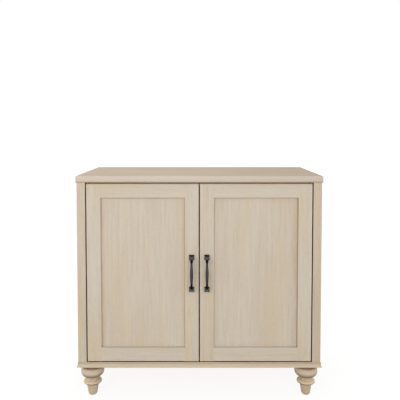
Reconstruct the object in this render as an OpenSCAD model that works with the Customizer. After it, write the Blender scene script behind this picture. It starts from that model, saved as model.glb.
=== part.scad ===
// Two-door media cabinet in bleached oak: rounded top board, inset Shaker doors on pivot pins,
// coved base frame and turned bun feet. Millimetres, +Z up, the doors face -Y.
// The origin is on the floor, under the middle of the bounding box.

/* [Overall] */
// Width of the top board and of the base frame
top_w = 900; // [800:10:1000]
// Depth of the top board and of the base frame
top_d = 400; // [340:10:460]
// Height of the carcass between the base frame and the top board
carcass_h = 664; // [560:4:760]
// How far the top and the base stand out past the face and the sides
overhang = 4; // [3:0.5:6]

/* [Top board] */
// Thickness of the top board
top_t = 25; // [20:1:30]
// Radius of the rounded edge, above and below
top_edge_r = 6; // [2:1:9]
// Radius of the two front corners, seen from above
top_corner_r = 5; // [2:1:12]

/* [Carcass] */
// Thickness of the side panels
side_t = 15; // [15:1:18]
// Thickness of the bottom panel, the stretchers and the shelf
board_t = 15; // [15:1:18]
// Width of the face stiles beside the doors
stile_w = 31; // [28:1:40]
// Thickness of the face stiles
stile_t = 20; // [18:1:24]
// Width of the two stretchers under the top
stretcher_w = 60; // [50:5:80]
// Room behind the door face, back to the bottom panel and the front stretcher
set_back = 26; // [26:1:32]
// Thickness of the back panel
back_t = 4; // [3:0.5:6]
// Distance from the back edge of the sides to the back panel
back_inset = 8; // [6:1:12]
// Depth of the grooves that hold the back panel
back_groove = 6; // [4:1:8]
// Diameter of the cable holes in the back panel
cable_hole_d = 50; // [40:2:70]
// Distance from the middle of the back panel to a cable hole
cable_hole_x = 215; // [100:5:300]

/* [Shelf] */
// Height of the shelf's underside above the bottom panel
shelf_z = 310; // [200:5:380]
// Distance from the door face to the shelf's front edge
shelf_set_back = 45; // [35:5:80]
// Diameter of a shelf pin
pin_d = 5; // [4:0.5:6]
// Height between two pin holes
pin_pitch = 32; // [25:1:40]
// Pin holes in one row
pin_rows = 5; // [3:2:7]

/* [Base frame] */
// Height of the base frame
base_h = 19; // [18:1:26]
// Width of the base frame's boards
base_w = 75; // [70:1:90]
// Height of the square lip under the cove
lip_h = 5; // [3:0.5:6]
// Height of the bead along the top of the base
bead_h = 4; // [3:0.5:5]
// How far the bead stands out past the carcass
bead_out = 1.5; // [1:0.25:2]

/* [Feet] */
// Height from the floor to the base frame
foot_h = 120; // [110:1:140]
// Distance from the base frame's edges to a foot's axis
foot_inset = 48; // [46:1:52]
// Radius of the collar under the base frame
collar_r = 32; // [28:0.5:36]
// Height of the collar
collar_h = 5; // [3:0.5:8]
// Largest radius of the bun
bun_r = 43; // [38:0.5:45]
// Height of the bun
bun_h = 44; // [38:1:48]
// Radius of the waist under the bun
waist_r = 19.5; // [17:0.5:24]
// Height of the waist
waist_h = 7.5; // [5:0.5:9]
// Largest radius of the ring
ring_r = 34; // [29:0.5:36]
// Height of the cove above the ring
ring_cove_h = 8.5; // [6:0.5:10]
// Thickness of the ring's rounded rim
ring_t = 7.2; // [5:0.2:9]
// Radius of the neck under the ring
neck_r = 23.3; // [21:0.1:26]
// Radius of the toe near the floor
toe_r = 16.2; // [14:0.1:19]
// Thickness of the felt pad
pad_t = 2; // [1.5:0.5:4]
// Thickness of the steel plate on top of a foot
plate_t = 2.5; // [2:0.5:3]
// Width of the steel plate
plate_w = 58; // [50:1:60]
// Diameter of the hanger bolt
bolt_d = 8; // [6:1:8]

/* [Doors] */
// Gap round and between the doors
door_gap = 4; // [4:0.25:5]
// Thickness of the door frame
door_t = 20; // [18:0.5:20]
// Width of the door's stiles and rails
rail_w = 52; // [48:1:70]
// Thickness of the door panel
panel_t = 6; // [4:0.5:7]
// Depth of the panel below the frame's face
recess = 7; // [4:0.5:8]
// Depth of the groove that holds the panel
panel_groove = 10; // [8:1:12]
// Radius of the eased outer edges
ease_r = 1.5; // [1:0.25:2]
// Bevel along the inner edge of the frame
inner_bevel = 1.5; // [0.5:0.25:2]

/* [Door pivots] */
// Distance from the door's outer edge to its pivot
pivot_in = 10; // [9:0.5:11]
// Distance from the door face to its pivot
pivot_back = 9; // [8.5:0.25:10]
// Diameter of a pivot pin
pivot_d = 6; // [5:0.5:6]
// Outer diameter of a pivot bushing
bushing_d = 11; // [9:0.5:11]
// Length of a pivot bushing
bushing_l = 13; // [10:1:18]
// Thickness of a pivot plate
pivot_plate_t = 2.5; // [2:0.5:3]
// Length of a pivot plate
pivot_plate_l = 44; // [36:1:60]
// Width of a pivot plate
pivot_plate_w = 14; // [12:1:16]

/* [Handles] */
// Distance between a handle's two fixing screws
handle_cc = 118; // [96:1:160]
// Distance from the door face to the middle of the bar
handle_reach = 24; // [22:1:32]
// Width of a handle's square foot
handle_foot_w = 19; // [16:0.5:22]
// Height of the foot's tapered block
handle_foot_h = 13; // [9:0.5:15]
// Radius of the bar at its ends
bar_end_r = 3.2; // [2.8:0.1:4]
// Radius of the bar in its middle
bar_mid_r = 6; // [5:0.1:8]
// Height of the handle's middle above the middle of the door
handle_rise = 0; // [-60:1:80]

/* [Catches] */
// Distance from the middle of the cabinet to a catch
catch_x = 84; // [70:1:140]
// Length of a catch
catch_l = 40; // [30:1:50]
// Height of a catch
catch_h = 12; // [10:1:14]
// Depth of a catch
catch_d = 22; // [18:1:30]
// Thickness of a strike plate
strike_t = 1; // [0.75:0.25:2]

/* [Hidden] */

$fn = 48;

oak = "#cfc1ab";
oak_edge = "#c8b8a0";
hardboard = "#b9a68c";
blackened = "#3b3a38";
steel = "#b4b6b8";
nylon = "#d8d6d0";
beech = "#d6b98c";
felt = "#8a8378";

// Clearances
fit = 0.05;        // round pieces in their bores, on the radius
slide_fit = 0.1;   // flat pieces in their grooves, on each side
seat_gap = 0.3;    // pieces of a door against pieces of the cabinet
shelf_gap = 1;     // each end of the shelf to the side panel
arc_n = 6;         // flats in a quarter round

// Base frame
base_edge_r = 1;       // of the lip's lower edge and the bead
lip_bevel = 0.5;
cove_step = 0.4;       // from the bead's face out to the top of the cove
cove_bend = 1.4;       // a higher value gives a deeper cove
quirk_h = 1;
quirk_in = 1;

// Feet
bun_belly = 0.515;     // how far down the bun its widest line lies
toe_edge_r = 2;
pad_in = 2.5;          // from the toe's edge to the felt pad

// Levels from the floor up
z_base = foot_h;
z_body = z_base + base_h;
z_roof = z_body + carcass_h;
z_door = z_body + door_gap;
door_h = carcass_h - 2 * door_gap;

// Depths: the box runs from the handles' bars to the back edge
handle_front = handle_reach + bar_mid_r;
y_face = -(top_d - overhang + handle_front) / 2 + handle_front;
y_front = y_face - overhang;
y_rear = y_front + top_d;
y_back = y_rear - back_inset - back_t;
y_boards = y_face + set_back;

// Widths
body_half = top_w / 2 - overhang;
open_half = body_half - stile_w;
inner_half = body_half - side_t;
door_out = open_half - door_gap;
door_in = door_gap / 2;
door_w = door_out - door_in;

// Door pivots
pivot_x = door_out - pivot_in;
pivot_y = y_face + pivot_back;
collar_top = door_gap - seat_gap;
collar_in = 0.5;       // from the bushing's outside to the collar's
pivot_collar_r = bushing_d / 2 - collar_in;

// Fittings of the carcass
cam_d = 15;
cam_deep = 12;
cam_in = 24;
cam_bolt_deep = 10;
dowel_d = 8;
dowel_deep = 10;
dowel_run = 18;
dowel_up = 12;
fix_off = 16;          // from a fixing to the dowel beside it
screw_d = 4;
screw_head_d = 8;
screw_head_h = 3;
screw_point = 3;
screw_tip_r = 0.4;
head_room = 0.15;      // round a screw's countersunk head
head_sink = 0.1;       // from the wood's face to a screw's head
screw_deep = 12;       // bore for a screw in the top board, the door or the bottom panel
side_screw_deep = 31;  // bore for a screw in a side panel's end
base_screw_in = 110;   // from the base frame's front and back edges to a side panel's screw
panel_screw_in = 53;   // and to a bottom panel's screw, in front
panel_screw_back = 35; // and behind
shank_room = 0.2;      // round a screw that goes through a piece
tongue_t = 5;
tongue_l = 6;
tongue_end = 0.3;      // from the tongue to the end of its groove
bolt_deep = 30;
boss_r = 6.5;
boss_h = 8;
pin_out = 8;
pin_deep = 9;
pin_flat = 0.4;
pin_flange_t = 0.8;
pin_flange_w = 1.5;
pin_inset = 45;        // from the face stile and the back panel to the pins
fix_front = 50;        // from the bottom panel's front edge to its fixings
fix_rear = 70;         // and from its back edge
catch_z = z_roof - board_t - catch_h;
magnet_in = 6;         // from a catch's end to its magnet
magnet_d = 12;         // length of the magnet, back from its face
magnet_wall = 2.5;     // of the catch, above and below the magnet
magnet_room = 0.2;     // round the magnet
magnet_proud = 1;      // of the magnet, in front of the catch
strike_over = 2;       // from a catch's end to its strike plate's end
strike_rise = 1;       // of the strike plate, above and below its catch

foot_x = top_w / 2 - foot_inset;
foot_y_front = y_front + foot_inset;
foot_y_rear = y_rear - foot_inset;
shelf_under = z_body + board_t + shelf_z;
pin_front = y_face + stile_t + pin_inset;
pin_rear = y_back - pin_inset;
panel_fix_front = y_boards + fix_front;
panel_fix_rear = y_back - fix_rear;

// Doors
groove_end = 0.5;      // from a rail's tongue to the end of its groove
panel_end = 1;         // and from the panel's edge, so that the wood can swell

// Handles
handle_edge_r = 1.5;   // of the square foot's corners
handle_rim_h = 3;      // of the foot's straight edge
handle_neck = 0.4;     // how much thicker the foot's top is than the bend above it
bar_swell = 1.6;       // a higher value gives a shorter swelling
bar_flare = 2.2;       // how much thicker the bar is where it bends to its feet
bar_flare_power = 9;   // a higher value gives a shorter flare
thread_end = 3;        // from the foot's top to the end of its threaded hole
screw_end = 2;         // and from the screw to the end of that hole
handle_head_h = 2.4;   // of the screw's flat head

// Points of an arc, for rounded profiles
function arc(cx, cy, rx, ry, a0, a1, n = arc_n) =
    [for (i = [0:n]) let (a = a0 + (a1 - a0) * i / n) [cx + rx * cos(a), cy + ry * sin(a)]];

// Extrudes a profile drawn as (y, z) along X, from x0 to x1
module along_x(x0, x1) {
    translate([x0, 0, 0])
        rotate([90, 0, 90])
            linear_extrude(x1 - x0)
                children();
}

// Extrudes a profile drawn as (x, z) along Y, from y0 to y1
module along_y(y0, y1) {
    translate([0, y1, 0])
        rotate([90, 0, 0])
            linear_extrude(y1 - y0)
                children();
}

// A box given by its lowest and highest corners
module block(a, b) {
    translate(a)
        cube(b - a);
}

// A round bar along X that starts at p
module bar_x(p, r, l) {
    translate(p)
        rotate([0, 90, 0])
            cylinder(r = r, h = l);
}

// A round bar along +Y that starts at p
module bar_y(p, r, l) {
    translate(p)
        rotate([-90, 0, 0])
            cylinder(r = r, h = l);
}

// A round bar along +Z that starts at p
module bar_z(p, r, l) {
    translate(p)
        cylinder(r = r, h = l);
}

module both_sides() {
    children();
    mirror([1, 0, 0])
        children();
}

// Top board: rounded on the front and both sides, square at the back

module top_profile_yz() {
    polygon(concat(
        [[y_rear, 0]],
        arc(y_front + top_edge_r, top_edge_r, top_edge_r, top_edge_r, 270, 180),
        arc(y_front + top_edge_r, top_t - top_edge_r, top_edge_r, top_edge_r, 180, 90),
        [[y_rear, top_t]]
    ));
}

module top_profile_xz() {
    w = top_w / 2 - top_edge_r;
    polygon(concat(
        arc(w, top_edge_r, top_edge_r, top_edge_r, 270, 360),
        arc(w, top_t - top_edge_r, top_edge_r, top_edge_r, 0, 90),
        arc(-w, top_t - top_edge_r, top_edge_r, top_edge_r, 90, 180),
        arc(-w, top_edge_r, top_edge_r, top_edge_r, 180, 270)
    ));
}

module top_plan() {
    w = top_w / 2;
    r = top_corner_r;
    polygon(concat(
        arc(-w + r, y_front + r, r, r, 180, 270),
        arc(w - r, y_front + r, r, r, 270, 360),
        [[w, y_rear], [-w, y_rear]]
    ));
}

module top_panel() {
    color(oak)
    difference() {
        translate([0, 0, z_roof])
        intersection() {
            along_x(-top_w / 2, top_w / 2)
                top_profile_yz();
            along_y(y_front, y_rear)
                top_profile_xz();
            linear_extrude(top_t)
                top_plan();
        }
        both_sides() {
            pivot_plate_pocket(z_roof, 1);
            top_dowel_places()
                bar_z([0, 0, -1], dowel_d / 2 + fit, dowel_up + 1.5);
        }
        top_screw_places()
            bar_z([0, 0, z_roof - 1], screw_d / 2 + fit, screw_deep + 1);
    }
}

// Places of the screws that hold the top board down on the stretchers
module top_screw_places() {
    for (x = [-inner_half * 0.55, 0, inner_half * 0.55])
        for (y = [y_boards + stretcher_w / 2, y_back - stretcher_w / 2])
            translate([x, y, 0])
                children();
}

// Places of the dowels between a side panel and the top board
module top_dowel_places() {
    for (y = [y_boards + stretcher_w + 15, y_back - stretcher_w - 15])
        translate([inner_half + side_t / 2, y, z_roof])
            children();
}

// Side panels: boards with a tongue for the stile, a groove for the back and rows of pin holes

module side_panel() {
    color(oak)
    difference() {
        union() {
            block([inner_half, y_face + stile_t, z_body], [body_half, y_rear, z_roof]);
            block([body_half - side_t / 2 - tongue_t / 2, y_face + stile_t - tongue_l, z_body],
                  [body_half - side_t / 2 + tongue_t / 2, y_face + stile_t + 1, z_roof]);
        }
        block([inner_half - 1, y_back - slide_fit, z_body - 1],
              [inner_half + back_groove, y_back + back_t + slide_fit, z_roof + 1]);
        for (y = [pin_front, pin_rear])
            for (i = [0:pin_rows - 1])
                bar_x([inner_half - 1, y, pin_hole_z(i)], pin_d / 2 + fit, pin_deep + 1.5);
        horizontal_fixings()
            bar_x([-1, 0, 0], 2.5 + fit, cam_bolt_deep + 1.5);
        horizontal_fixings(fix_off)
            bar_x([-1, 0, 0], dowel_d / 2 + fit, dowel_deep + 1.5);
        top_dowel_places()
            bar_z([0, 0, -dowel_run - 0.5], dowel_d / 2 + fit, dowel_run + 1.5);
        base_screw_places()
            bar_z([0, 0, z_body - 1], screw_d / 2 + fit, side_screw_deep);
    }
}

// Height of a pin hole; the shelf stands on the middle one
function pin_hole_z(i) = shelf_under - pin_d / 2 + pin_flat + (i - (pin_rows - 1) / 2) * pin_pitch;

// Places on the side panel's inner face where a horizontal board is drawn up to it
module horizontal_fixings(dy = 0) {
    for (y = [panel_fix_front, panel_fix_rear])
        translate([inner_half, y + dy, z_body + board_t / 2])
            children();
    for (y = [y_boards + stretcher_w / 2, y_back - stretcher_w / 2])
        translate([inner_half, y - fix_off / 2 + dy, z_roof - board_t / 2])
            children();
}

// Cam and dowel bores of a horizontal board's two ends, drilled from its underside and its ends
module board_end_bores() {
    both_sides() {
        horizontal_fixings()
            union() {
                bar_x([-cam_in - 2, 0, 0], 4 + fit, cam_in + 3);
                bar_z([-cam_in, 0, -board_t / 2 - 1], cam_d / 2 + fit, cam_deep + 1.2);
            }
        horizontal_fixings(fix_off)
            bar_x([-dowel_run - 0.5, 0, 0], dowel_d / 2 + fit, dowel_run + 1.5);
    }
}

// Face stiles: the posts beside the doors, grooved at the back for the side panel's tongue

module face_stile() {
    x0 = open_half;
    x1 = body_half;
    r = ease_r;
    groove_half = tongue_t / 2 + slide_fit;
    color(oak)
    difference() {
        translate([0, 0, z_body])
            linear_extrude(carcass_h)
                polygon(concat(
                    arc(x0 + r, y_face + r, r, r, 180, 270, 4),
                    arc(x1 - r, y_face + r, r, r, 270, 360, 4),
                    [[x1, y_face + stile_t], [x0, y_face + stile_t]]
                ));
        block([x1 - side_t / 2 - groove_half, y_face + stile_t - tongue_l - tongue_end, z_body - 1],
              [x1 - side_t / 2 + groove_half, y_face + stile_t + 1, z_roof + 1]);
    }
}

// Horizontal boards of the carcass

module bottom_panel() {
    color(oak)
    difference() {
        block([-inner_half, y_boards, z_body], [inner_half, y_back, z_body + board_t]);
        board_end_bores();
        base_panel_screw_places()
            bar_z([0, 0, z_body - 1], screw_d / 2 + fit, screw_deep);
    }
}

module front_stretcher() {
    color(oak)
    difference() {
        block([-inner_half, y_boards, z_roof - board_t], [inner_half, y_boards + stretcher_w, z_roof]);
        board_end_bores();
        stretcher_screw_holes();
    }
}

module rear_stretcher() {
    color(oak)
    difference() {
        block([-inner_half, y_back - stretcher_w, z_roof - board_t], [inner_half, y_back, z_roof]);
        board_end_bores();
        stretcher_screw_holes();
    }
}

module stretcher_screw_holes() {
    top_screw_places()
        union() {
            bar_z([0, 0, z_roof - board_t - 1], screw_d / 2 + fit, board_t + 2);
            translate([0, 0, z_roof - board_t])
                countersink();
        }
}

// Room for a screw's head, open downwards
module countersink() {
    translate([0, 0, -0.01])
        cylinder(r1 = screw_head_d / 2 + head_room, r2 = screw_d / 2 + head_room, h = screw_head_h);
}

module back_panel() {
    r = cable_hole_d / 2;
    color(hardboard)
    difference() {
        block([-inner_half - back_groove + 0.5, y_back, z_body],
              [inner_half + back_groove - 0.5, y_back + back_t, z_roof - 0.3]);
        for (z = cable_hole_heights())
            for (x = [-cable_hole_x, cable_hole_x])
                bar_y([x, y_back - 1, z], r, back_t + 2);
    }
}

// Each compartment has a cable hole behind each door
function cable_hole_heights() = [
    (z_body + board_t + shelf_under) / 2,
    (shelf_under + board_t + z_roof - board_t) / 2
];

module shelf() {
    color(oak)
        block([-inner_half + shelf_gap, y_face + shelf_set_back, shelf_under],
              [inner_half - shelf_gap, y_back - 2, shelf_under + board_t]);
}

// Shelf pins: a round pin in the side panel, with a thin flange and a flat top for the shelf
module shelf_pins() {
    z = pin_hole_z((pin_rows - 1) / 2);
    color(steel)
    both_sides()
        for (y = [pin_front, pin_rear])
            difference() {
                union() {
                    bar_x([inner_half - pin_out, y, z], pin_d / 2, pin_out + pin_deep);
                    bar_x([inner_half - pin_flange_t, y, z], pin_d / 2 + pin_flange_w, pin_flange_t);
                }
                block([inner_half - pin_out - 1, y - pin_d, shelf_under],
                      [inner_half - pin_flange_t, y + pin_d, shelf_under + pin_d]);
            }
}

// Base frame: coved boards mitred at the front corners, with a rear rail between them

// The section as (outwards, up), where 0 is the face of the carcass: lip, cove, quirk and bead
function base_profile() =
    let (
        z_bead = base_h - bead_h,
        z_quirk = z_bead - quirk_h,
        x_lip = overhang - lip_bevel,
        x_cove = bead_out + cove_step,
        x_quirk = x_cove - quirk_in,
        r = base_edge_r
    )
    concat(
        [[overhang - base_w, 0]],
        arc(overhang - r, r, r, r, 270, 360, 3),
        [[overhang, lip_h - lip_bevel], [x_lip, lip_h]],
        [for (t = [0.2:0.2:1]) [x_cove + (x_lip - x_cove) * pow(1 - t, cove_bend),
                                lip_h + (z_quirk - lip_h) * t]],
        [[x_quirk, z_quirk], [x_quirk, z_bead]],
        arc(bead_out - r / 2, z_bead + r / 2, r / 2, r / 2, 270, 360, 3),
        arc(bead_out - r, base_h - r, r, r, 0, 90, 4),
        [[overhang - base_w, base_h]]
    );

module base_section() {
    polygon(base_profile());
}

module base_front_moulding() {
    w = top_w / 2;
    color(oak)
    difference() {
        intersection() {
            translate([0, y_face, z_base])
                along_x(-w, w)
                    mirror([1, 0])
                        base_section();
            translate([0, 0, z_base])
                linear_extrude(base_h)
                    polygon([[-w, y_front], [w, y_front], [w - base_w, y_front + base_w],
                             [-w + base_w, y_front + base_w]]);
        }
        both_sides() {
            pivot_plate_pocket(z_body, -1);
            foot_boss_holes();
        }
        base_panel_screw_places()
            base_screw_hole();
    }
}

module base_side_moulding() {
    w = top_w / 2;
    color(oak)
    difference() {
        intersection() {
            translate([body_half, 0, z_base])
                along_y(y_front, y_rear)
                    base_section();
            translate([0, 0, z_base])
                linear_extrude(base_h)
                    polygon([[w, y_front], [w, y_rear], [w - base_w, y_rear],
                             [w - base_w, y_front + base_w]]);
        }
        foot_boss_holes();
        base_screw_places()
            base_screw_hole();
    }
}

module base_rear_rail() {
    w = top_w / 2 - base_w;
    color(oak_edge)
    difference() {
        block([-w, y_rear - base_w, z_base], [w, y_rear, z_body]);
        base_panel_screw_places()
            base_screw_hole();
    }
}

// Screws that come up through the base frame into the side panels
module base_screw_places() {
    for (y = [y_front + base_screw_in, y_rear - base_screw_in])
        translate([inner_half + side_t / 2, y, 0])
            children();
}

// Screws that come up through the base frame into the bottom panel
module base_panel_screw_places() {
    for (x = [-top_w / 4, top_w / 4])
        for (y = [y_front + panel_screw_in, y_rear - panel_screw_back])
            translate([x, y, 0])
                children();
}

module base_screw_hole() {
    bar_z([0, 0, z_base - 1], screw_d / 2 + fit, base_h + 2);
    translate([0, 0, z_base])
        countersink();
}

module foot_boss_holes() {
    for (y = [foot_y_front, foot_y_rear])
        bar_z([foot_x, y, z_base - 1], boss_r + 0.3, boss_h + 2);
}

// Feet: turned in one piece, with a bun, a waist, a coved ring and a tapered toe

function foot_profile() =
    let (
        z1 = foot_h - plate_t,
        r_toe = toe_r - toe_edge_r,
        z_collar = z1 - collar_h,
        z_bun = z_collar - bun_h,
        z_mid = z_collar - bun_h * bun_belly,
        z_waist = z_bun - waist_h,
        z_ring = z_waist - ring_cove_h,
        rim = ring_t / 2,
        z_neck = z_ring - ring_t
    )
    concat(
        [[0, pad_t], [r_toe, pad_t]],
        arc(r_toe, pad_t + toe_edge_r, toe_edge_r, toe_edge_r, 270, 350, 4),
        [[neck_r, z_neck]],
        arc(ring_r - rim, z_ring - rim, rim, rim, 270, 450, 8),
        [for (a = [15:15:90]) [ring_r - rim - (ring_r - rim - waist_r) * sin(a),
                               z_waist - ring_cove_h * cos(a)]],
        [for (a = [0:9:90]) [waist_r + (bun_r - waist_r) * sin(a),
                             z_mid - (z_mid - z_bun) * cos(a)]],
        [for (a = [9:9:90]) [collar_r + (bun_r - collar_r) * cos(a),
                             z_mid + (z_collar - z_mid) * sin(a)]],
        [[collar_r, z1], [0, z1]]
    );

module foot(sx, y) {
    color(oak)
    translate([sx * foot_x, y, 0])
        difference() {
            rotate_extrude()
                polygon(foot_profile());
            bar_z([0, 0, foot_h - plate_t - bolt_deep - 0.5], bolt_d / 2 + fit, bolt_deep + 1);
        }
}

module at_feet() {
    for (sx = [-1, 1])
        for (y = [foot_y_front, foot_y_rear])
            translate([sx * foot_x, y, 0])
                children();
}

// Steel plates between the feet and the base frame, with a threaded boss for the bolt
module foot_plates() {
    color(steel)
    at_feet()
        difference() {
            union() {
                block([-plate_w / 2, -plate_w / 2, foot_h - plate_t],
                      [plate_w / 2, plate_w / 2, foot_h]);
                bar_z([0, 0, foot_h - plate_t], boss_r, plate_t + boss_h);
            }
            bar_z([0, 0, foot_h - plate_t - 1], bolt_d / 2 + fit, plate_t + boss_h + 2);
        }
}

module foot_bolts() {
    color(steel)
    at_feet()
        bar_z([0, 0, foot_h - plate_t - bolt_deep], bolt_d / 2, bolt_deep + plate_t + boss_h);
}

module foot_pads() {
    color(felt)
    at_feet()
        bar_z([0, 0, 0], toe_r - pad_in, pad_t);
}

// Knock-down fittings

module cam_bolts() {
    color(steel)
    both_sides()
        horizontal_fixings()
            translate([-cam_in, 0, 0])
                rotate([0, 90, 0])
                    rotate_extrude()
                        polygon([[0, 0], [3, 0], [3, 2], [1.8, 2.6], [1.8, 6], [3, 6.6],
                                 [3, cam_in], [2.5, cam_in], [2.5, cam_in + cam_bolt_deep - 1],
                                 [1.5, cam_in + cam_bolt_deep], [0, cam_in + cam_bolt_deep]]);
}

module cam_locks() {
    color(steel)
    both_sides()
        horizontal_fixings()
            translate([-cam_in, 0, -board_t / 2])
                difference() {
                    cylinder(d = cam_d, h = cam_deep);
                    bar_x([-2, 0, board_t / 2], 3.3, cam_d);
                    block([-5, -0.8, -1], [5, 0.8, 1.5]);
                    block([-0.8, -5, -1], [0.8, 5, 1.5]);
                }
}

module dowels() {
    color(beech)
    both_sides() {
        horizontal_fixings(fix_off)
            bar_x([-dowel_run, 0, 0], dowel_d / 2, dowel_run + dowel_deep);
        top_dowel_places()
            bar_z([0, 0, -dowel_run], dowel_d / 2, dowel_run + dowel_up);
    }
}

module countersunk_screw(l) {
    rotate_extrude()
        polygon([[0, 0], [screw_head_d / 2, 0], [screw_d / 2, screw_head_h],
                 [screw_d / 2, l - screw_point], [screw_tip_r, l], [0, l]]);
}

module top_screws() {
    color(steel)
    top_screw_places()
        translate([0, 0, z_roof - board_t + head_sink])
            countersunk_screw(board_t + screw_deep - 1);
}

module base_screws() {
    color(steel) {
        both_sides()
            base_screw_places()
                translate([0, 0, z_base + head_sink])
                    countersunk_screw(base_h + side_screw_deep - 2);
        base_panel_screw_places()
            translate([0, 0, z_base + head_sink])
                countersunk_screw(base_h + screw_deep - 2);
    }
}

// Door pivots: a plate let into the board above or below, with a pin for the door's bushing

module pivot_plate_outline(grow = 0) {
    w = pivot_plate_w / 2 + grow;
    x1 = pivot_x + pivot_plate_w / 2 + grow;
    polygon(concat(
        [[pivot_x + pivot_plate_w / 2 - pivot_plate_l - grow, pivot_y + w],
         [pivot_x + pivot_plate_w / 2 - pivot_plate_l - grow, pivot_y - w]],
        arc(x1 - w, pivot_y, w, w, 270, 450, 12)
    ));
}

// Room for a pivot plate in the face at height z; up is 1 for a board above, -1 for one below
module pivot_plate_pocket(z, up) {
    z0 = up > 0 ? z - 1 : z - pivot_plate_t;
    translate([0, 0, z0])
        linear_extrude(pivot_plate_t + 1)
            pivot_plate_outline(slide_fit);
}

module pivot_pins() {
    color(steel)
    union() {
        translate([0, 0, z_roof])
            linear_extrude(pivot_plate_t)
                pivot_plate_outline();
        bar_z([pivot_x, pivot_y, z_roof - door_gap - bushing_l + 1], pivot_d / 2,
              door_gap + bushing_l - 0.5);
    }
    color(steel)
    union() {
        translate([0, 0, z_body - pivot_plate_t])
            linear_extrude(pivot_plate_t)
                pivot_plate_outline();
        bar_z([pivot_x, pivot_y, z_body - 1], pivot_collar_r, collar_top + 1);
        bar_z([pivot_x, pivot_y, z_body - 0.5], pivot_d / 2, door_gap + bushing_l - 0.5);
    }
}

module pivot_bushings() {
    color(nylon)
    for (z = [z_door, z_door + door_h - bushing_l])
        difference() {
            bar_z([pivot_x, pivot_y, z], bushing_d / 2, bushing_l);
            bar_z([pivot_x, pivot_y, z - 1], pivot_d / 2 + fit, bushing_l + 2);
        }
}

// Doors, drawn for the right-hand side and mirrored for the left

// Section of a frame member as (across, back): w wide, outer edge at 0, panel groove at w
function member_section(w) = concat(
    arc(ease_r, ease_r, ease_r, ease_r, 180, 270, 4),
    [[w - inner_bevel, 0], [w, inner_bevel],
     [w, recess - slide_fit], [w - panel_groove, recess - slide_fit],
     [w - panel_groove, recess + panel_t + slide_fit], [w, recess + panel_t + slide_fit],
     [w, door_t], [ease_r, door_t]],
    arc(ease_r, door_t - ease_r, ease_r, ease_r, 90, 180, 4)
);

module door_hinge_stile() {
    color(oak)
    difference() {
        translate([door_out, y_face, z_door])
            linear_extrude(door_h)
                mirror([1, 0])
                    polygon(member_section(rail_w));
        for (z = [z_door - 1, z_door + door_h - bushing_l - 0.5])
            bar_z([pivot_x, pivot_y, z], bushing_d / 2 + fit, bushing_l + 1.5);
    }
}

module door_meeting_stile() {
    color(oak)
    difference() {
        translate([door_in, y_face, z_door])
            linear_extrude(door_h)
                polygon(member_section(rail_w));
        handle_screw_places()
            bar_y([0, y_face - 1, 0], screw_d / 2 + shank_room, door_t + 2);
    }
}

// A rail lies between the stiles: its ends are coped over the stiles' bevels and carry a tongue
// for the stiles' grooves
module door_rail() {
    x0 = door_in + rail_w;
    x1 = door_out - rail_w;
    tongue = panel_groove - groove_end;
    intersection() {
        along_x(x0 - tongue - 1, x1 + tongue + 1)
            children();
        translate([0, y_face, z_door - 1])
            linear_extrude(door_h + 2)
                polygon([
                    [x0 - inner_bevel, 0], [x0, inner_bevel], [x0, recess], [x0 - tongue, recess],
                    [x0 - tongue, recess + panel_t], [x0, recess + panel_t], [x0, door_t],
                    [x1, door_t], [x1, recess + panel_t], [x1 + tongue, recess + panel_t],
                    [x1 + tongue, recess], [x1, recess], [x1, inner_bevel], [x1 + inner_bevel, 0]
                ]);
    }
}

module door_top_rail() {
    color(oak)
        door_rail()
            translate([y_face, z_door + door_h])
                rotate(-90)
                    polygon(member_section(rail_w));
}

module door_bottom_rail() {
    color(oak)
        door_rail()
            translate([y_face, z_door])
                rotate(-90)
                    mirror([1, 0])
                        polygon(member_section(rail_w));
}

module door_panel() {
    g = panel_groove - panel_end;
    color(oak)
        block([door_in + rail_w - g, y_face + recess, z_door + rail_w - g],
              [door_out - rail_w + g, y_face + recess + panel_t, z_door + door_h - rail_w + g]);
}

// Handles: two square tapered feet joined by a bar that swells in the middle

module handle_screw_places() {
    for (s = [-1, 1])
        translate([door_in + rail_w / 2, 0, handle_mid() + s * handle_cc / 2])
            children();
}

function handle_mid() = z_door + door_h / 2 + handle_rise;

// Half length of the straight bar, up to the bends
function bar_half() = handle_cc / 2 - bend_r();

function bend_r() = handle_reach - handle_foot_h;

// Radius of the bar's section in its bends
function bend_bar_r() = bar_end_r + bar_flare;

module handle_foot() {
    w = handle_foot_w / 2;
    r = handle_edge_r;
    hull() {
        for (x = [-w + r, w - r])
            for (z = [-w + r, w - r])
                translate([x, 0, z])
                    rotate([90, 0, 0])
                        cylinder(r = r, h = handle_rim_h, $fn = 16);
        rotate([90, 0, 0])
            cylinder(r = bend_bar_r() + handle_neck, h = handle_foot_h, $fn = 32);
    }
}

module handle_bar() {
    h = bar_half();
    n = 20;
    rotate_extrude()
        polygon(concat(
            [[0, -h]],
            [for (i = [-n / 2:n / 2]) let (t = sin(180 * i / n))
                [bar_end_r + (bar_mid_r - bar_end_r) * pow(cos(90 * t), bar_swell)
                 + bar_flare * pow(abs(t), bar_flare_power), h * t]],
            [[0, h]]
        ));
}

module handle() {
    color(blackened)
    translate([door_in + rail_w / 2, y_face, handle_mid()])
        difference() {
            union() {
                translate([0, -handle_reach, 0])
                    handle_bar();
                for (s = [0, 1])
                    mirror([0, 0, s]) {
                        translate([0, 0, handle_cc / 2])
                            handle_foot();
                        translate([0, -handle_foot_h, bar_half()])
                            handle_corner();
                    }
            }
            for (s = [-1, 1])
                bar_y([0, -handle_foot_h + thread_end, s * handle_cc / 2], screw_d / 2 + fit,
                      handle_foot_h);
        }
}

// Quarter bend from the foot to the bar, with its centre at the origin
module handle_corner() {
    rotate([0, -90, 0])
        rotate_extrude(angle = -90)
            translate([bend_r(), 0])
                circle(r = bend_bar_r());
}

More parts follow.
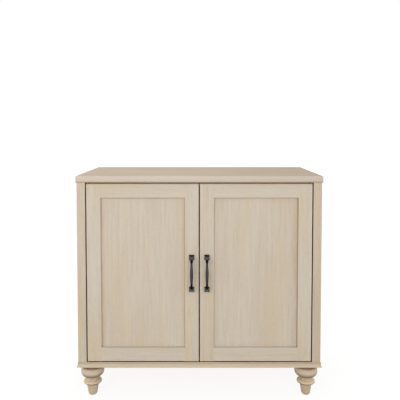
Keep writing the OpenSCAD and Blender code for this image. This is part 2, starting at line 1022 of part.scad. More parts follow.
module handle_screws() {
    l = door_t + handle_foot_h - thread_end - screw_end;
    color(steel)
    handle_screw_places()
        translate([0, y_face + door_t, 0])
            union() {
                bar_y([0, 0, 0], screw_head_d / 2, handle_head_h);
                bar_y([0, -l, 0], screw_d / 2, l + 1);
            }
}

// Catches under the front stretcher and their strike plates on the doors

module magnetic_catches() {
    y0 = y_face + door_t + strike_t + seat_gap;
    color(nylon)
    both_sides()
        difference() {
            block([catch_x - catch_l / 2, y0 + magnet_proud, catch_z],
                  [catch_x + catch_l / 2, y0 + catch_d, catch_z + catch_h]);
            magnet(y0, 0);
        }
}

module catch_magnets() {
    y0 = y_face + door_t + strike_t + seat_gap;
    color(steel)
    both_sides()
        magnet(y0, magnet_room);
}

// A catch's magnet, drawn in by that much at its ends, above and below
module magnet(y0, by) {
    w = catch_l / 2 - magnet_in - by;
    block([catch_x - w, y0, catch_z + magnet_wall + by],
          [catch_x + w, y0 + magnet_d, catch_z + catch_h - magnet_wall - by]);
}

module strike_plate() {
    y0 = y_face + door_t;
    color(steel)
        block([catch_x - catch_l / 2 + strike_over, y0, catch_z - strike_rise],
              [catch_x + catch_l / 2 - strike_over, y0 + strike_t, catch_z + catch_h + strike_rise]);
}

top_panel();
mirror([1, 0, 0]) side_panel();  // left_side_panel
side_panel();  // right_side_panel
mirror([1, 0, 0]) face_stile();  // left_face_stile
face_stile();  // right_face_stile
bottom_panel();
front_stretcher();
rear_stretcher();
back_panel();
shelf();
shelf_pins();
base_front_moulding();
mirror([1, 0, 0]) base_side_moulding();  // base_left_moulding
base_side_moulding();  // base_right_moulding
base_rear_rail();
foot(-1, foot_y_front);  // front_left_foot
foot(1, foot_y_front);  // front_right_foot
foot(-1, foot_y_rear);  // rear_left_foot
foot(1, foot_y_rear);  // rear_right_foot
foot_plates();
foot_bolts();
foot_pads();
cam_bolts();
cam_locks();
dowels();
top_screws();
base_screws();
mirror([1, 0, 0]) pivot_pins();  // left_pivot_pins
pivot_pins();  // right_pivot_pins
magnetic_catches();
catch_magnets();
mirror([1, 0, 0]) door_hinge_stile();  // left_door_hinge_stile
mirror([1, 0, 0]) door_meeting_stile();  // left_door_meeting_stile
mirror([1, 0, 0]) door_top_rail();  // left_door_top_rail
mirror([1, 0, 0]) door_bottom_rail();  // left_door_bottom_rail
mirror([1, 0, 0]) door_panel();  // left_door_panel
mirror([1, 0, 0]) handle();  // left_handle
mirror([1, 0, 0]) handle_screws();  // left_handle_screws
mirror([1, 0, 0]) pivot_bushings();  // left_pivot_bushings
mirror([1, 0, 0]) strike_plate();  // left_strike_plate
door_hinge_stile();  // right_door_hinge_stile
door_meeting_stile();  // right_door_meeting_stile
door_top_rail();  // right_door_top_rail
door_bottom_rail();  // right_door_bottom_rail
door_panel();  // right_door_panel
handle();  // right_handle
handle_screws();  // right_handle_screws
pivot_bushings();  // right_pivot_bushings
strike_plate();  // right_strike_plate
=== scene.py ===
import math

import bmesh
import bpy
from mathutils import Matrix, Vector


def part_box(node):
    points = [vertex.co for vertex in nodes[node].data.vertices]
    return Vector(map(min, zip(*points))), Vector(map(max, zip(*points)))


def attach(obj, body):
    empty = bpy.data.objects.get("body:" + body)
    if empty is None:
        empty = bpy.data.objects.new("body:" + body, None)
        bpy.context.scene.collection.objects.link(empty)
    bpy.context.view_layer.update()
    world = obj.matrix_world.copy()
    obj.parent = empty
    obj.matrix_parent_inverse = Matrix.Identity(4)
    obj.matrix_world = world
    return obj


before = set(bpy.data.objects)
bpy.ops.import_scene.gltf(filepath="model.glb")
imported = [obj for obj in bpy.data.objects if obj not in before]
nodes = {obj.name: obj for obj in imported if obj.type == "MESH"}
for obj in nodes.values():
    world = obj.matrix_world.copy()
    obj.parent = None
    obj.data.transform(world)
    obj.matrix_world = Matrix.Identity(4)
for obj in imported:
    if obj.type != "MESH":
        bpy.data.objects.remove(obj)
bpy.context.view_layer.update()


# Top board. A solid oak board, planed, with its front and side edges rounded over, then limed:
# white pigment is rubbed into the grain and wiped off, and brown and golden tints of painted shade
# lie where shade falls. The grain runs along the board. Screws draw it down on the stretchers below.

def linear(colour):
    """A Blender colour from an sRGB hex value such as cbbba3."""
    parts = [int(colour[i:i + 2], 16) / 255 for i in (0, 2, 4)]
    return [c / 12.92 if c <= 0.04045 else ((c + 0.055) / 1.055) ** 2.4 for c in parts] + [1.0]


def add(tree, kind, sockets=(), **settings):
    """Adds a node. A socket takes a number, a hex colour, another node or one of its outputs."""
    made = tree.nodes.new("ShaderNode" + kind)
    for name, value in settings.items():
        setattr(made, name, value)
    for socket, value in dict(sockets).items():
        if isinstance(value, bpy.types.Node):
            value = next(output for output in value.outputs if output.enabled)
        if isinstance(value, bpy.types.NodeSocket):
            tree.links.new(value, made.inputs[socket])
        else:
            made.inputs[socket].default_value = linear(value) if isinstance(value, str) else value
    return made


def empty_tree(owner):
    """The tree of nodes of a material or a world, with nothing in it."""
    owner.use_nodes = True
    owner.node_tree.nodes.clear()
    return owner.node_tree


def new_material(name, **surface):
    """A material with an empty tree but its shader, whose own sockets take the uniform values."""
    made = bpy.data.materials.new(name)
    tree = empty_tree(made)
    shader = add(tree, "BsdfPrincipled", surface)
    add(tree, "OutputMaterial", {"Surface": shader})
    return made, tree, shader


def position(tree):
    """Where a point of the cabinet lies while the doors are shut, as X, Y and Z in metres."""
    return add(tree, "SeparateXYZ", {0: add(tree, "TexCoord").outputs["Object"]}).outputs


def figure(tree, along, wide_mm, long_mm, shift_mm=(0, 0, 0), detail=2.0, rough=0.5):
    """Noise in the piece's own space, so many mm wide across the grain and so many long. The shift
    moves it, so that no two boards are alike."""
    size = [1000 / wide_mm] * 3
    size["XYZ".index(along)] = 1000 / long_mm
    place = add(tree, "TexCoord").outputs["Object"]
    shift = [mm / wide_mm for mm in shift_mm]
    mapped = add(tree, "Mapping", {"Vector": place, "Scale": size, "Location": shift})
    return add(tree, "TexNoise", {"Vector": mapped, "Scale": 1.0, "Detail": detail, "Roughness": rough})


def lay(tree, under, over, pattern, low=0.0, high=1.0, most=1.0):
    """Lays one colour over another where a pattern goes from low to high, there up to that share."""
    share = add(tree, "MapRange", {"Value": pattern, "From Min": low, "From Max": high, "To Max": most})
    return add(tree, "Mix", {0: share, 6: under, 7: over}, data_type="RGBA")


def join_surface(tree, shader, colour, matt=None, relief=None):
    """Joins a colour to the shader, and where asked a roughness and a relief that follow a pattern:
    matt is (pattern, least, most), and relief is (pattern, strength, depth in metres)."""
    tree.links.new(colour.outputs[2], shader.inputs["Base Color"])
    if matt:
        pattern, least, most = matt
        varied = add(tree, "MapRange", {"Value": pattern, "From Min": 0.3, "From Max": 0.7,
                                        "To Min": least, "To Max": most})
        tree.links.new(varied.outputs[0], shader.inputs["Roughness"])
    if relief:
        pattern, strength, depth = relief
        bump = add(tree, "Bump", {"Height": pattern, "Strength": strength, "Distance": depth})
        tree.links.new(bump.outputs[0], shader.inputs["Normal"])


def by_height(tree, stops):
    """A share that follows the height, over (height in mm, share) stops."""
    low, high = stops[0][0], stops[-1][0]
    part = add(tree, "MapRange", {"Value": position(tree)["Z"],
                                  "From Min": low / 1000, "From Max": high / 1000})
    made = add(tree, "ValToRGB", {"Fac": part})
    elements = made.color_ramp.elements
    while len(elements) < len(stops):
        elements.new(0.5)
    for element, (height, share) in zip(elements, stops):
        element.position = (height - low) / (high - low)
        element.color = (share, share, share, 1)
    return made


def greatest(tree, values):
    """The greatest of several values at each point."""
    most = values[0]
    for value in values[1:]:
        most = add(tree, "Math", {0: most, 1: value}, operation="MAXIMUM")
    return most


def arris_highlight_and_wear(tree):
    """1 on rounded and bevelled edges and 0 on the flats, from the normal in the piece's own space.
    There a painted highlight and wear make the edges pale.
    """
    flat, turned_away = 0.995, 0.93     # cosines of about 6 and 22 degrees from the nearest axis
    normal = add(tree, "TexCoord").outputs["Normal"]
    unsigned = add(tree, "VectorMath", {0: normal}, operation="ABSOLUTE")
    parts = add(tree, "SeparateXYZ", {0: unsigned}).outputs
    most = greatest(tree, [parts["X"], parts["Y"], parts["Z"]])
    return add(tree, "MapRange", {"Value": most, "From Min": flat, "From Max": turned_away})


GOLDEN, EDGE_HIGHLIGHT_AND_WEAR = "dfc999", "e0d7cb"                         # the oak's streaks, and the painted highlight and wear on its edges
PIGMENT_AND_HIGHLIGHT, SHADE_BROWN, SHADE_GOLDEN = "dad2c8", "705131", "c29a64"      # white pigment and painted highlight, and the brown and golden of painted shade


def limed_oak(name, along, tones, shift_mm=(0, 0, 0), layers=(), arris=0.5):
    """Limed oak: pale and golden streaks, a warm drift and fine open pores under a matt lacquer.
    The pores are 0.3 mm wide on the real board and are drawn at 1.2 mm, so that they show.
    tones are the ground, the two drifts over it, the streaks and the pores. layers are laid on top,
    such as white pigment, painted highlight, and painted shade in brown and golden tints: each has a
    function that gives its share, and a colour. arris is the share of painted highlight and wear on the
    edges."""
    made, tree, shader = new_material(name, **{"Roughness": 0.62, "Specular IOR Level": 0.25})
    ground, flowing, drifting, streaked, porous = tones
    flow = figure(tree, along, 12, 320, shift_mm, detail=3.0, rough=0.6)
    colour = lay(tree, ground, flowing, flow, 0.34, 0.66)
    drift = figure(tree, along, 90, 500, shift_mm)
    colour = lay(tree, colour, drifting, drift, 0.42, 0.66, 0.5)
    golden = figure(tree, along, 26, 520, [mm + 70 for mm in shift_mm], detail=3.0, rough=0.6)
    colour = lay(tree, colour, GOLDEN, golden, 0.53, 0.68, 0.32)
    streak = figure(tree, along, 4, 110, shift_mm, rough=0.65)
    colour = lay(tree, colour, streaked, streak, 0.5, 0.7, 0.33)
    pore = figure(tree, along, 1.2, 16, shift_mm, detail=1.0)
    colour = lay(tree, colour, porous, pore, 0.58, 0.7, 0.28)
    colour = lay(tree, colour, EDGE_HIGHLIGHT_AND_WEAR, arris_highlight_and_wear(tree), most=arris)
    for share, over in layers:
        colour = lay(tree, colour, over, share(tree))
    grain = add(tree, "Math", {0: pore, 1: streak}, operation="ADD")
    join_surface(tree, shader, colour, matt=(flow, 0.56, 0.68), relief=(grain, 0.1, 0.0004))
    return made


def dress(material, *names):
    """Gives a material to CAD nodes."""
    for name in names:
        for slot in nodes[name].material_slots:
            slot.material = material


top_low, top_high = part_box("top_panel")
under_top, over_top = top_low.z * 1000, top_high.z * 1000
near_right_end = top_high.x - 0.03


def towards_right(tree, start, most):
    """A share that grows from a place across the cabinet, in metres, to its right end."""
    return add(tree, "MapRange", {"Value": position(tree)["X"], "From Min": start,
                                  "From Max": near_right_end, "To Max": most})


def right_end_painted_shade(tree):
    """Painted shade: a golden tint that thickens towards the cabinet's right end."""
    return towards_right(tree, 0.05, 0.15)


def top_painted_shade(tree):
    """Painted shade: brown along the board's lower rounded edge, which faces down, and a thin film of it
    that grows towards the right end.
    """
    edge = by_height(tree, [(under_top - 1, 0.15), (under_top + 0.5, 0.12), (under_top + 3, 0.06),
                            (under_top + 5, 0.02), (under_top + 10, 0.0)])
    return greatest(tree, [edge, towards_right(tree, -0.1, 0.085)])


def top_liming(tree):
    """White pigment that is rubbed thickly into the upright face of the edge."""
    return by_height(tree, [(under_top + 4, 0.0), (under_top + 8, 0.6), (over_top - 4, 0.7),
                            (over_top - 0.7, 0.3), (over_top - 0.1, 0.0)])


top_oak = limed_oak("limed oak, top board", "X", ("d7c7b6", "d0bda8", "ccb293", "bda485", "ac9172"),
                    layers=((right_end_painted_shade, SHADE_GOLDEN), (top_liming, PIGMENT_AND_HIGHLIGHT), (top_painted_shade, SHADE_BROWN)), arris=0.1)
dress(top_oak, "top_panel")


# Carcass. Two side panels, the posts beside the doors, a bottom panel, two stretchers under the
# top and a shelf, all of limed oak boards held by dowels and cam fittings. The posts are glued on.

stile_low, stile_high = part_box("right_face_stile")
opening = (-stile_low.x, stile_low.x, stile_low.z, stile_high.z)
opening_low_mm, opening_high_mm = opening[2] * 1000, opening[3] * 1000
face = stile_low.y


def beyond(tree, rectangle):
    """How far a point lies beyond each side of a rectangle of the front, in metres."""
    x0, x1, z0, z1 = rectangle
    place = position(tree)
    pairs = ((x0, place["X"]), (place["X"], x1), (z0, place["Z"]), (place["Z"], z1))
    return [add(tree, "Math", {0: first, 1: second}, operation="SUBTRACT") for first, second in pairs]


def along_edges(tree, rectangle, low_mm, high_mm, shares):
    """A share at each side, left, right, bottom and top, that grows from low to high beyond it."""
    parts = []
    for distance, share in zip(beyond(tree, rectangle), shares):
        reach = {"Value": distance, "From Min": low_mm / 1000, "From Max": high_mm / 1000, "To Max": share}
        parts.append(add(tree, "MapRange", reach, interpolation_type="SMOOTHSTEP"))
    return greatest(tree, parts)


def shade_in_the_gap(tree, rectangle, shares=(1.0, 1.0, 1.0, 1.0)):
    """Shares of painted shade on the edges that face each other across the doors' gaps, behind the rounded
    arris.
    """
    on_edge, off_edge = 0.0003, 0.0008          # metres from the rectangle's sides
    arris_end, full_from = 0.0005, 0.003        # metres behind the doors' face
    full_to, faded = 0.012, 0.026
    off = add(tree, "Math", {0: greatest(tree, beyond(tree, rectangle))}, operation="ABSOLUTE")
    edge = add(tree, "MapRange", {"Value": off, "From Min": off_edge, "From Max": on_edge})
    # the share of painted shade at each side of the gap
    glaze = along_edges(tree, rectangle, -1.0, -0.5, shares)
    edge = add(tree, "Math", {0: edge, 1: glaze}, operation="MULTIPLY")
    depth = position(tree)["Y"]
    behind = add(tree, "MapRange", {"Value": depth, "From Min": face + arris_end,
                                    "From Max": face + full_from})
    before = add(tree, "MapRange", {"Value": depth, "From Min": face + faded, "From Max": face + full_to})
    within = add(tree, "Math", {0: behind, 1: before}, operation="MULTIPLY")
    return add(tree, "Math", {0: edge, 1: within}, operation="MULTIPLY")


def post_painted_shade(tree):
    """Painted shade in the doors' gap, in a thin line where the post stands on the base, and as a film
    lower down.
    """
    foot = by_height(tree, [(opening_low_mm, 0.8), (opening_low_mm + 0.8, 0.55),
                            (opening_low_mm + 2, 0.06), (opening_low_mm + 150, 0.05),
                            (opening_low_mm + 500, 0.0)])
    return greatest(tree, [foot, shade_in_the_gap(tree, opening)])


def side_liming(tree):
    """White pigment in broad upright bands, where the side panels' wood takes up more of it."""
    band = figure(tree, "Z", 60, 900, (25, 140, 10))
    return add(tree, "MapRange", {"Value": band, "From Min": 0.42, "From Max": 0.62, "To Max": 0.3})


POST = ("d6cdbf", "d1c6b5", "cdbda6", "c0af96", "b09b80")
PANEL = ("d6cdc0", "d1c6b6", "cebda7", "c2b098", "b29d84")

post_layers = ((right_end_painted_shade, SHADE_GOLDEN), (post_painted_shade, SHADE_BROWN))
post_oak = limed_oak("limed oak, post", "Z", POST, (37, 11, 0), post_layers)
dress(post_oak, "left_face_stile", "right_face_stile")
side_oak = limed_oak("limed oak, side panel", "Z", PANEL, (90, 11, 60), ((side_liming, PIGMENT_AND_HIGHLIGHT),))
dress(side_oak, "left_side_panel", "right_side_panel")
inner_oak = limed_oak("limed oak, inner board", "X", PANEL, (0, 60, 20))
dress(inner_oak, "bottom_panel", "front_stretcher", "rear_stretcher", "shelf", "base_rear_rail")


# Back panel. Hardboard 4 mm thick with a pale printed face, slid into grooves in the side panels
# before the top goes on, with a round hole for cables behind each door above and below the shelf.

# The printed face is dull, with a close mottle of fibre and a slow change of tone
hardboard, tree, shader = new_material("hardboard, printed face", Roughness=0.75)
fibre = figure(tree, "Z", 3.0, 3.5, detail=4.0, rough=0.65)
tone = figure(tree, "Z", 60, 90, detail=2.0)
colour = lay(tree, "bcac93", "ab997e", fibre, 0.3, 0.7)
colour = lay(tree, colour, "a39074", tone, 0.45, 0.7, 0.35)
join_surface(tree, shader, colour, relief=(fibre, 0.08, 0.0003))
dress(hardboard, "back_panel")


# Base frame. Three mouldings run on a spindle moulder, with a bead above a quirk, a cove that
# flares out and a square lip, mitred and glued at the front corners. Painted shade lies in the quirk.

base_low, base_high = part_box("base_front_moulding")
base_mm, body_mm = base_low.z * 1000, base_high.z * 1000
lip_top = base_mm + 5
quirk_low, quirk_high = body_mm - 5, body_mm - 4


def base_painted_shade(tree):
    """Painted shade in the quirk, above the lip, along the seam below the posts and in the gap under the
    doors.
    """
    lines = by_height(tree, [(base_mm, 0.0), (lip_top - 0.4, 0.0), (lip_top + 0.4, 0.12),
                             (lip_top + 3, 0.03), (quirk_low - 1.5, 0.08), (quirk_low, 0.35),
                             (quirk_high, 0.35), (quirk_high + 0.8, 0.03), (body_mm - 0.6, 0.0),
                             (body_mm, 0.3)])
    return greatest(tree, [lines, shade_in_the_gap(tree, opening, (0.0, 0.0, 0.85, 0.0))])


BASE = ("dbd0bc", "d6c6ae", "d2bb99", "c6ae8b", "b59b79")
# The golden tint and the dark brown 64401f are painted shade
base_layers = ((right_end_painted_shade, SHADE_GOLDEN), (base_painted_shade, "64401f"))

base_oak = limed_oak("limed oak, front moulding", "X", BASE, (300, 0, 40), base_layers)
dress(base_oak, "base_front_moulding")
base_side_oak = limed_oak("limed oak, side moulding", "Y", BASE, (5, 0, 90), base_layers)
dress(base_side_oak, "base_left_moulding", "base_right_moulding")


# Feet. Each is turned from one block of oak with the grain upright and limed, with painted shade in
# its grooves and under the base, and painted highlight on the bun and the ring's rim. A hanger bolt
# draws it up to a steel plate, and it stands on a felt pad.

# Heights above the floor in mm, from the collar at the top down to the ring's rounded rim
foot_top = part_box("front_left_foot")[1].z * 1000
collar = foot_top - 5
bun_low = collar - 44
waist_low = bun_low - 7.5
ring_high = waist_low - 8.5
ring_low = ring_high - 7.2


def foot_painted_shade(tree):
    """Painted shade under the ring, in the waist, below the bun and under the base frame."""
    return by_height(tree, [(0, 0.05), (ring_low - 7.3, 0.03), (ring_low - 2.3, 0.3),
                            (ring_low + 0.3, 0.9), (ring_low + 3.3, 0.9),
                            (ring_high - 2.3, 0.0), (ring_high + 1.5, 0.0),
                            (ring_high + 3, 0.1), (waist_low - 1, 0.08), (waist_low + 3, 0.02),
                            (bun_low + 0.5, 0.1), (bun_low + 4.5, 0.5), (bun_low + 9.5, 0.75),
                            (bun_low + 14.5, 0.5), (bun_low + 20.5, 0.12), (bun_low + 25.5, 0.02),
                            (bun_low + 29.5, 0.03), (collar - 9.5, 0.12), (collar - 5.5, 0.5),
                            (collar - 2.5, 0.9), (collar - 0.5, 0.5), (collar + 1.5, 0.3),
                            (collar + 5.5, 0.3)])


def bun_painted_highlight(tree):
    """Painted highlight in white pigment over the belly of the bun."""
    return by_height(tree, [(bun_low + 15.5, 0.0), (bun_low + 23.5, 0.35), (bun_low + 31.5, 0.35),
                            (bun_low + 38.5, 0.0)])


def ring_rim_painted_highlight(tree):
    """Painted highlight on the ring's rim, in pale wood."""
    return by_height(tree, [(ring_high - 2.9, 0.0), (ring_high - 1.9, 0.8), (ring_high + 0.3, 0.8),
                            (ring_high + 1.5, 0.1), (ring_high + 5.5, 0.0)])


# f0e0c2 is the pale colour of the painted highlight on the ring's rim
foot_layers = ((right_end_painted_shade, SHADE_GOLDEN), (bun_painted_highlight, PIGMENT_AND_HIGHLIGHT), (ring_rim_painted_highlight, "f0e0c2"), (foot_painted_shade, SHADE_BROWN))

foot_oak = limed_oak("limed oak, turned foot", "Z", ("d9cdbb", "d3c3ad", "ceb799", "c0a888", "ad9474"),
                     (13, 70, 0), foot_layers, arris=0.0)
dress(foot_oak, "front_left_foot", "front_right_foot", "rear_left_foot", "rear_right_foot")

# Pressed felt is dull all over and flecked with paler hairs
felt, tree, shader = new_material("wool felt, pressed", Roughness=0.95)
fleece = figure(tree, "Z", 1.5, 1.5, detail=4.0, rough=0.7)
join_surface(tree, shader, lay(tree, "6e665c", "8a8276", fleece, 0.3, 0.7), relief=(fleece, 0.4, 0.0005))
dress(felt, "foot_pads")


# Doors. Two stiles and two rails, coped over each other, round a flat panel that lies loose in
# their grooves. The stiles and the panel have upright grain and the rails lie across. Painted
# shade lies in the corner between the frame and the panel.

def door_painted_shade(tree, outline, recess, shade_shares):
    """Painted shade on the bevel round the panel, along the door's top edge and on the edges in the gaps,
    and a film of it lower down.
    """
    bevel_start, bevel_end = 0.0006, 0.0022     # out from the recess, in metres
    low_mm = outline[2] * 1000
    off = greatest(tree, beyond(tree, recess))
    bevel = add(tree, "MapRange", {"Value": off, "From Min": bevel_end, "From Max": bevel_start})
    edges = along_edges(tree, recess, -0.3, 0.3, shade_shares["bevel"])
    bevel = add(tree, "Math", {0: bevel, 1: edges}, operation="MULTIPLY")
    rim = along_edges(tree, outline, -9, -1, (0.0, 0.0, 0.0, 0.18))
    film = by_height(tree, [(low_mm, 0.05), (low_mm + 90, 0.04), (low_mm + 260, 0.0)])
    return greatest(tree, [bevel, rim, film, shade_in_the_gap(tree, outline, shade_shares["gap"])])


def panel_painted_shade(tree, recess, shade_shares):
    """Painted shade that thins out over the border of the panel in uneven clouds, thicker in the corner.
    """
    border = along_edges(tree, recess, -shade_shares["border_mm"], 0, shade_shares["border"])
    corner = along_edges(tree, recess, -2.5, 0.5, [share * 1.3 for share in shade_shares["border"]])
    cloud = figure(tree, "Z", 14, 60, (0, 40, 0))
    uneven = add(tree, "MapRange", {"Value": cloud, "From Min": 0.3, "From Max": 0.7,
                                    "To Min": 0.6, "To Max": 1.4})
    border = add(tree, "Math", {0: border, 1: uneven}, operation="MULTIPLY")
    return greatest(tree, [border, corner])


hinge_low, hinge_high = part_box("right_door_hinge_stile")
meeting_low, meeting_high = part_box("right_door_meeting_stile")
recess_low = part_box("right_door_bottom_rail")[1].z
recess_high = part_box("right_door_top_rail")[0].z
FRAME = ("d7cfc3", "d2c8b9", "d0c0a9", "c3b298", "b39e84")
# The browns of the painted shade on the frames and on the panels
FRAME_SHADE_BROWN, PANEL_SHADE_BROWN = "7a4c14", "96641a"

# The share of painted shade at the left, right, bottom and top: on the frame's bevel round the
# panel, on the door's edges in the gaps, and on the border of the panel
left_shade_shares = {"bevel": (0.05, 0.45, 0.5, 0.12), "gap": (0.9, 0.6, 0.6, 0.2),
              "border": (0.22, 0.06, 0.04, 0.07), "border_mm": 16}
right_shade_shares = {"bevel": (0.02, 0.8, 0.5, 0.12), "gap": (0.6, 0.9, 0.6, 0.2),
               "border": (0.03, 0.2, 0.04, 0.07), "border_mm": 30}

for side, shade_shares in (("left", left_shade_shares), ("right", right_shade_shares)):
    outline = (meeting_low.x, hinge_high.x, hinge_low.z, hinge_high.z)
    recess = (meeting_high.x, hinge_low.x, recess_low, recess_high)
    if side == "left":
        outline, recess = [(-x1, -x0, z0, z1) for x0, x1, z0, z1 in (outline, recess)]
    frame_layers = ((lambda tree: door_painted_shade(tree, outline, recess, shade_shares), FRAME_SHADE_BROWN),)
    panel_layers = ((lambda tree: panel_painted_shade(tree, recess, shade_shares), PANEL_SHADE_BROWN),)

    stile_oak = limed_oak(f"limed oak, {side} door's stiles", "Z", FRAME, (90, 0, 150), frame_layers, 0.15)
    dress(stile_oak, side + "_door_hinge_stile", side + "_door_meeting_stile")
    rail_oak = limed_oak(f"limed oak, {side} door's rails", "X", FRAME, (0, 33, 44), frame_layers, 0.15)
    dress(rail_oak, side + "_door_top_rail", side + "_door_bottom_rail")
    panel_oak = limed_oak(f"limed oak, {side} door's panel", "Z", PANEL, (51, 19, 300), panel_layers)
    dress(panel_oak, side + "_door_panel")


# Handles. Bar pulls of cast zinc, blackened and lacquered, with painted shade and a painted dark
# reflection in black where the bar leaves its feet, and a painted highlight in dark grey in the
# middle of each foot. Two machine screws hold each through the door's meeting stile.

handle_low, handle_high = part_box("right_handle")
handle_foot_mm = 19                                       # width of the square feet
low_foot = handle_low.z * 1000 + handle_foot_mm / 2       # heights of the middles of the feet
high_foot = handle_high.z * 1000 - handle_foot_mm / 2


def handle_painted_shade_and_reflection(tree):
    """Painted shade and a painted dark reflection, deepest in the corner between each foot and the bar,
    and round the feet's edges.
    """
    return by_height(tree, [(low_foot - 10, 0.8), (low_foot - 6, 0.5), (low_foot - 2, 0.0),
                            (low_foot + 7, 0.0), (low_foot + 10, 0.8), (low_foot + 12, 1.0),
                            (low_foot + 21, 1.0), (low_foot + 32, 0.3), (low_foot + 45, 0.0),
                            (high_foot - 28, 0.0), (high_foot - 17, 0.2), (high_foot - 12, 0.9),
                            (high_foot - 4, 1.0), (high_foot - 1, 0.1), (high_foot + 3, 0.0),
                            (high_foot + 6, 0.35), (high_foot + 10, 0.7)])


def handle_painted_highlight(tree):
    """A painted highlight in the middle of each foot."""
    return by_height(tree, [(low_foot - 4, 0.0), (low_foot, 0.9), (low_foot + 5, 0.9),
                            (low_foot + 8, 0.0), (high_foot - 4, 0.0), (high_foot, 0.9),
                            (high_foot + 3, 0.9), (high_foot + 6, 0.0)])


blackened, tree, shader = new_material("cast zinc, blackened", Metallic=1.0, Roughness=0.34)
rub = figure(tree, "Z", 9, 14, detail=3.0, rough=0.6)
colour = lay(tree, "404549", "4a4641", rub, 0.4, 0.75)
# 636d76 is the grey of the painted highlight
colour = lay(tree, colour, "636d76", handle_painted_highlight(tree))
# 0c0b0a is the black of the painted shade and dark reflection
colour = lay(tree, colour, "0c0b0a", handle_painted_shade_and_reflection(tree))
join_surface(tree, shader, colour, matt=(rub, 0.28, 0.42), relief=(rub, 0.1, 0.0004))
dress(blackened, "left_handle", "right_handle")


# Fittings. Shelf pins, cams, bolts and screws of zinc-plated steel, and pivots of the same steel,
# passivated black, which stay dark in the doors' gaps. Catches and pivot bushings are of moulded
# nylon, and dowels of turned beech.

# Passivated plating has a faint cloudy sheen
zinc, tree, shader = new_material("steel, zinc plated", Metallic=1.0, Roughness=0.35)
cloud = figure(tree, "Z", 6, 6, detail=3.0)
join_surface(tree, shader, lay(tree, "b9bbbd", "a3a6a4", cloud, 0.3, 0.7), matt=(cloud, 0.3, 0.42))
dress(zinc, "shelf_pins", "foot_plates", "foot_bolts", "cam_bolts", "cam_locks", "top_screws",
      "base_screws", "catch_magnets", "left_handle_screws", "right_handle_screws",
      "left_strike_plate", "right_strike_plate")

# The black coat is duller, with a brownish bloom
black_zinc, tree, shader = new_material("steel, zinc plated and blackened", Metallic=1.0, Roughness=0.45)
bloom = figure(tree, "Z", 7, 7, detail=3.0)
join_surface(tree, shader, lay(tree, "2b2a29", "3a3733", bloom, 0.3, 0.7), matt=(bloom, 0.4, 0.52))
dress(black_zinc, "left_pivot_pins", "right_pivot_pins")

# Moulded nylon is off-white and even, with a skin that is faintly dimpled
nylon, tree, shader = new_material("nylon, moulded", Roughness=0.5)
haze = figure(tree, "Z", 4, 4)
join_surface(tree, shader, lay(tree, "dedbd2", "d5d1c6", haze, 0.3, 0.7), relief=(haze, 0.05, 0.0003))
dress(nylon, "magnetic_catches", "left_pivot_bushings", "right_pivot_bushings")

# Beech is warm and plain, with short dark flecks along the grain
beech, tree, shader = new_material("beech, turned dowel", Roughness=0.6)
fleck = figure(tree, "Z", 1.5, 9)
join_surface(tree, shader, lay(tree, "d8bd92", "c4a274", fleck, 0.4, 0.7))
dress(beech, "dowels")


# Small screws. Countersunk cross-head screws that hold the pivot plates, the catches and the
# strike plates. Only their heads show, 0.1 to 0.3 mm proud, with the cross pressed into them.

def screw_head(name, place, facing, radius, proud, metal, body):
    """A screw's domed head at a point in mm, facing along an axis, with a cross sunk into it."""
    rings, segments = 9, 32
    cross_depth, cross_half_width, cross_reach = 0.45 * radius, 0.16 * radius, 0.66 * radius
    made = bmesh.new()
    middle = made.verts.new((0, 0, proud - cross_depth))
    grid = []
    for i in range(1, rings + 1):
        r = radius * i / rings
        dome = proud * (1 - (r / radius) ** 2) ** 0.5 if r < radius else 0.0
        ring = []
        for k in range(segments):
            angle = 2 * math.pi * (k + 0.5) / segments
            x, y = r * math.cos(angle), r * math.sin(angle)
            crossed = min(abs(x), abs(y)) < cross_half_width and r < cross_reach
            ring.append(made.verts.new((x, y, dome - (cross_depth if crossed else 0))))
        grid.append(ring)
    for k in range(segments):
        following = (k + 1) % segments
        made.faces.new((middle, grid[0][k], grid[0][following]))
        for inner, outer in zip(grid, grid[1:]):
            made.faces.new((inner[k], outer[k], outer[following], inner[following]))
    turned = Vector(facing).to_track_quat("Z", "Y").to_matrix().to_4x4()
    made.transform(Matrix.Translation(Vector(place) / 1000) @ turned @ Matrix.Scale(0.001, 4))
    mesh = bpy.data.meshes.new(name)
    made.to_mesh(mesh)
    made.free()
    mesh.materials.append(metal)
    for polygon in mesh.polygons:
        polygon.use_smooth = True
    head = bpy.data.objects.new(name, mesh)
    bpy.context.scene.collection.objects.link(head)
    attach(head, body)


def middle_mm(low, high):
    """Halfway between two places, in mm."""
    return (low + high) * 500


pivot_low, pivot_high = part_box("right_pivot_pins")
catch_low, catch_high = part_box("magnetic_catches")
strike_low, strike_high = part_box("right_strike_plate")
plate_y = middle_mm(pivot_low.y, pivot_high.y)
catch_y = middle_mm(catch_low.y, catch_high.y)
strike_x = middle_mm(strike_low.x, strike_high.x)
strike_z = middle_mm(strike_low.z, strike_high.z)
plate_screws_mm = (8, 24)      # from the plate's inner end
catch_screws_x = (strike_low.x * 1000 + 1, strike_high.x * 1000 - 1)
plate_head, catch_head, strike_head = (3.2, 0.3), (2.2, 0.3), (2.5, 0.1)     # radius, height in mm
up, down, rearwards = (0, 0, 1), (0, 0, -1), (0, 1, 0)

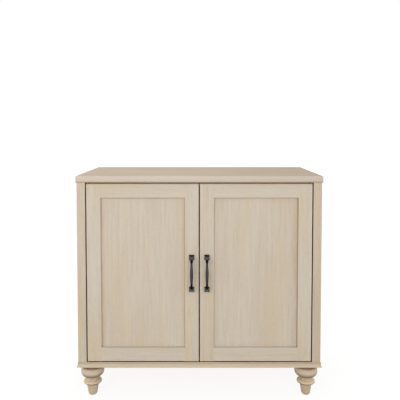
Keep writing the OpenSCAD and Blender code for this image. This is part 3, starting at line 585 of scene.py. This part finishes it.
for side, sign in (("left", -1), ("right", 1)):
    for i, inward in enumerate(plate_screws_mm, 1):
        x = sign * (pivot_low.x * 1000 + inward)
        screw_head(f"{side}_lower_plate_screw_{i}", (x, plate_y, opening_low_mm), up,
                   *plate_head, black_zinc, "cabinet")
        screw_head(f"{side}_upper_plate_screw_{i}", (x, plate_y, opening_high_mm), down,
                   *plate_head, black_zinc, "cabinet")
    for i, x in enumerate(catch_screws_x, 1):
        screw_head(f"{side}_catch_screw_{i}", (sign * x, catch_y, catch_low.z * 1000), down,
                   *catch_head, zinc, "cabinet")
    screw_head(side + "_strike_screw", (sign * strike_x, strike_high.y * 1000, strike_z), rearwards,
               *strike_head, zinc, side + "_door")


# Studio. A plain pale floor that runs out of sight, a pale surround and soft lamps. The camera
# sees the floor as white paper with the cabinet's shadow on it, and the surround as white.

def seen_directly(tree):
    """1 for camera, glossy and transmission rays, 0 for the light that falls on the cabinet."""
    rays = add(tree, "LightPath").outputs
    return greatest(tree, [rays["Is Camera Ray"], rays["Is Glossy Ray"], rays["Is Transmission Ray"]])


floor_width = 400                      # metres
near, far = 1.5, 9.0                   # metres from the cabinet, between which the glow grows
near_glow, far_glow = 0.86, 1.0
surround_light = 0.55

# Matt paper under an even light: its own glow and a grey that takes the lamps add up to white,
# and where the cabinet keeps the lamps off, the shadow stays. It throws a warm light back up.
paper = bpy.data.materials.new("floor paper, matt white")
tree = empty_tree(paper)
distance = add(tree, "VectorMath", {0: add(tree, "TexCoord").outputs["Object"]}, operation="LENGTH")
strength = add(tree, "MapRange", {"Value": distance, "From Min": near, "From Max": far,
                                  "To Min": near_glow, "To Max": far_glow})
glow = add(tree, "Emission", {"Strength": strength})
thin = add(tree, "BsdfDiffuse", {"Color": "757575"})
lit = add(tree, "AddShader", {0: glow, 1: thin})
bounce = add(tree, "BsdfDiffuse", {"Color": "c9c0b3"})
surface = add(tree, "MixShader", {0: seen_directly(tree), 1: bounce, 2: lit})
add(tree, "OutputMaterial", {"Surface": surface})

bpy.ops.mesh.primitive_plane_add(size=floor_width, location=(0, 0, 0))
floor = bpy.context.object
floor.name = "studio_floor"
floor.data.materials.append(paper)

world = bpy.data.worlds.new("studio")
bpy.context.scene.world = world
tree = empty_tree(world)
soft = add(tree, "Background", {"Color": "fafafa", "Strength": surround_light})
plain = add(tree, "Background", {"Color": "ffffff", "Strength": 1.0})
chosen = add(tree, "MixShader", {0: seen_directly(tree), 1: soft, 2: plain})
add(tree, "OutputWorld", {"Surface": chosen})


def lamp(name, place, aim, size, watts):
    """A soft square white lamp aimed at a point."""
    data = bpy.data.lights.new(name, "AREA")
    data.size = size
    data.energy = watts
    made = bpy.data.objects.new(name, data)
    bpy.context.scene.collection.objects.link(made)
    made.location = place
    made.rotation_euler = (Vector(aim) - Vector(place)).to_track_quat("-Z", "Y").to_euler()


# Name, place and aim in metres, width and watts
lamp("key_right", (1.3, -3.0, 1.6), (0, 0, 0.45), 1.6, 22)
lamp("fill_left", (-1.5, -2.9, 1.6), (-0.1, 0, 0.5), 2.0, 35)
lamp("overhead", (-0.5, 0.2, 2.2), (-0.1, 0, 0.8), 1.6, 3.5)
lamp("right_side", (2.6, 0.4, 0.75), (0, 0, 0.5), 1.2, 14)
lamp("left_side", (-2.6, 0.4, 0.75), (0, 0, 0.5), 1.2, 14)
lamp("behind", (0.2, 2.8, 0.46), (0, 0, 0.45), 0.8, 30)


# Camera. At the photograph's height and distance, looking slightly down. The focal length and the
# distances come from fitting the top board's corners, the doors' edges and the base's lower edge.

camera_ahead = 1.7806     # in front of the top board's front edge
camera_above = 0.1752     # above the top board
pitch = math.radians(2.5)
sensor_mm = 36
frame_px = 400
focal_px = 494.3          # focal length in pixels of the frame
axis_column = 199.3       # column and row of the frame that the lens axis meets
axis_row = 149

camera_data = bpy.data.cameras.new("camera")
camera_data.sensor_fit = "HORIZONTAL"
camera_data.sensor_width = sensor_mm
camera_data.lens = sensor_mm * focal_px / frame_px
camera_data.shift_x = (frame_px / 2 - axis_column) / frame_px
camera_data.shift_y = (axis_row - frame_px / 2) / frame_px
camera = bpy.data.objects.new("camera", camera_data)
bpy.context.scene.collection.objects.link(camera)
camera.location = (0, top_low.y - camera_ahead, top_high.z + camera_above)
camera.rotation_euler = (math.pi / 2 - pitch, 0, 0)
bpy.context.scene.camera = camera
bpy.context.scene.view_settings.view_transform = "Standard"
